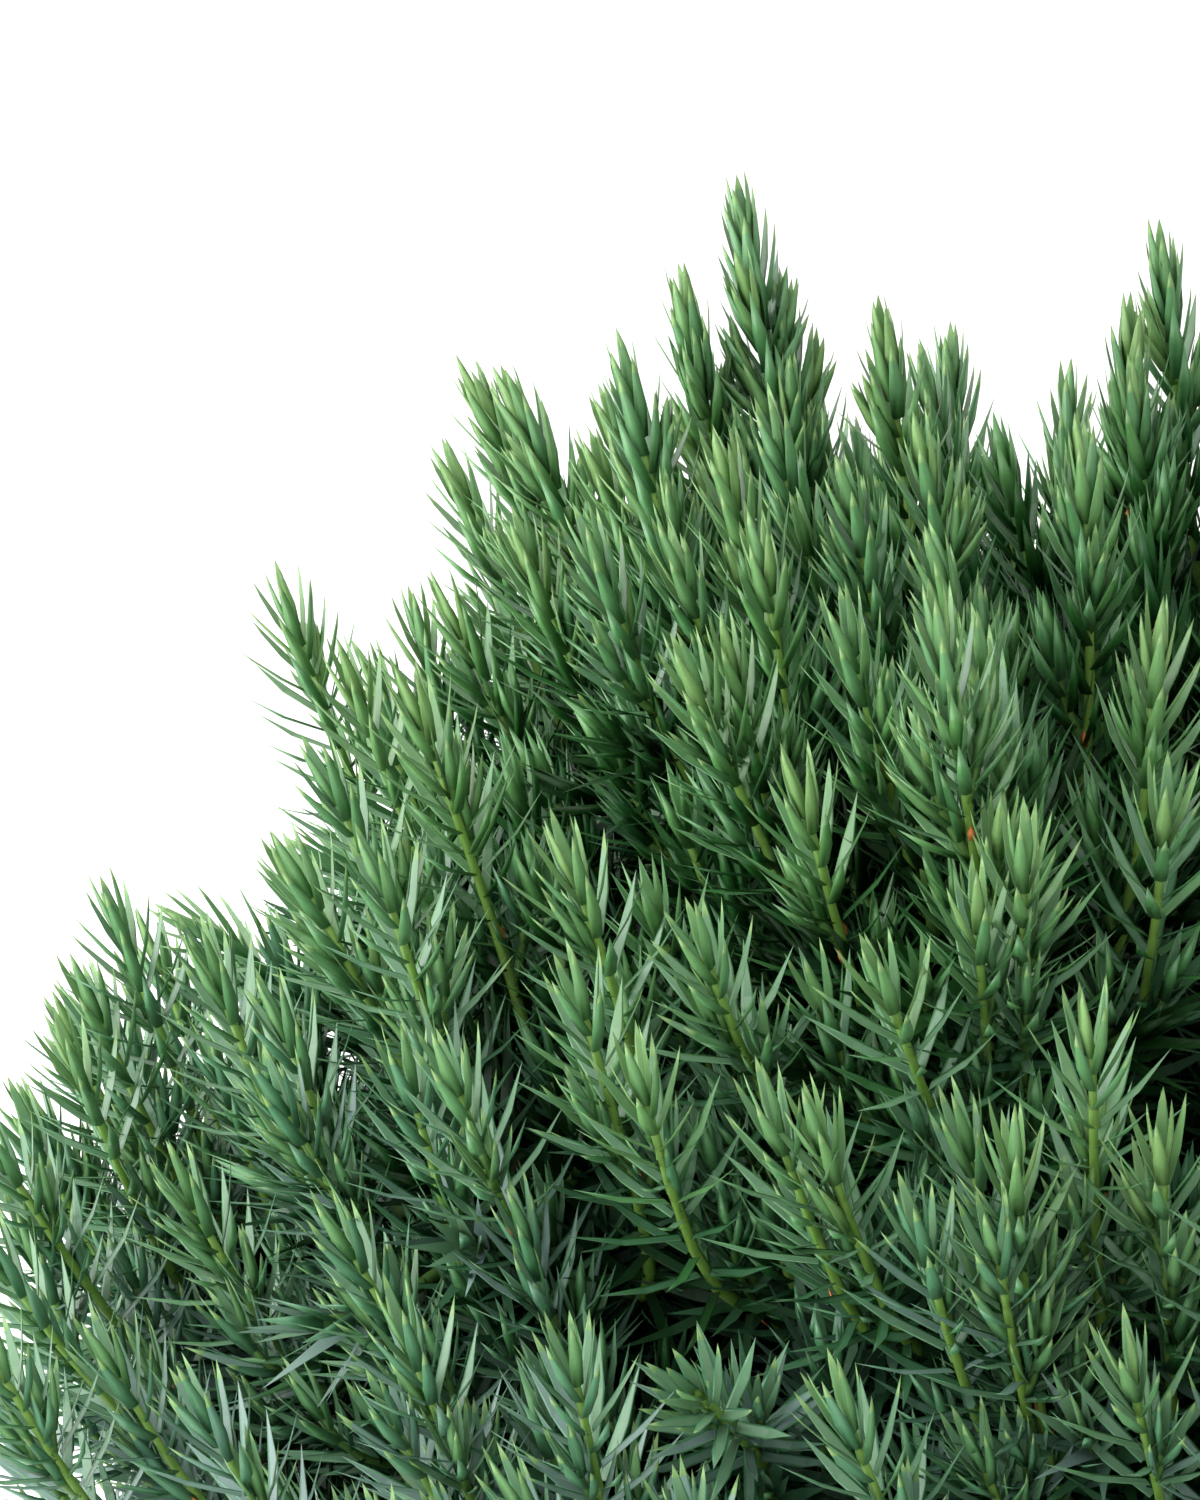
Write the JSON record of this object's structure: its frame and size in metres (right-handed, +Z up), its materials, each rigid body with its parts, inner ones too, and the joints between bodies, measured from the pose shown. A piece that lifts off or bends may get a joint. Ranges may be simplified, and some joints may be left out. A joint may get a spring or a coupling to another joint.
{
  "type": "blue star juniper shrub",
  "caption": "Young low, mounding needle-leaved evergreen shrub on one short stem, dense blue-green foliage full from all sides, rooted in the ground",
  "frame": {"origin": "the middle of the trunk's flat cut at ground level", "axes": "+Z up along the trunk, -Y towards the side that is seen from the front, +X to that side's right"},
  "size_m": [0.2342, 0.2277, 0.176],
  "materials": {
    "trunk_bark": "rough, flaking grey-brown bark",
    "branch_bark": "thin, finely cracked orange-brown bark",
    "needles": "waxy blue-green needles with a soft satin bloom"
  },
  "bodies": {
    "root": {"trunk": "trunk_bark", "bough_01": "branch_bark", "bough_02": "branch_bark", "bough_03": "branch_bark", "bough_04": "branch_bark", "bough_05": "branch_bark", "bough_06": "branch_bark", "bough_07": "branch_bark", "bough_08": "branch_bark", "bough_09": "branch_bark", "bough_10": "branch_bark", "bough_11": "branch_bark", "bough_12": "branch_bark", "bough_13": "branch_bark", "bough_14": "branch_bark", "bough_15": "branch_bark", "bough_16": "branch_bark", "bough_17": "branch_bark", "bough_18": "branch_bark", "bough_19": "branch_bark", "bough_20": "branch_bark", "bough_21": "branch_bark", "bough_22": "branch_bark", "bough_23": "branch_bark", "bough_24": "branch_bark", "bough_25": "branch_bark", "bough_26": "branch_bark", "bough_27": "branch_bark", "bough_28": "branch_bark", "foliage_01": "needles", "foliage_02": "needles", "foliage_03": "needles", "foliage_04": "needles", "foliage_05": "needles", "foliage_06": "needles", "foliage_07": "needles", "foliage_08": "needles", "foliage_09": "needles", "foliage_10": "needles", "foliage_11": "needles", "foliage_12": "needles", "foliage_13": "needles", "foliage_14": "needles", "foliage_15": "needles", "foliage_16": "needles", "foliage_17": "needles", "foliage_18": "needles", "foliage_19": "needles", "foliage_20": "needles", "foliage_21": "needles", "foliage_22": "needles", "foliage_23": "needles", "foliage_24": "needles", "foliage_25": "needles", "foliage_26": "needles", "foliage_27": "needles", "foliage_28": "needles"}
  },
  "joints": []
}
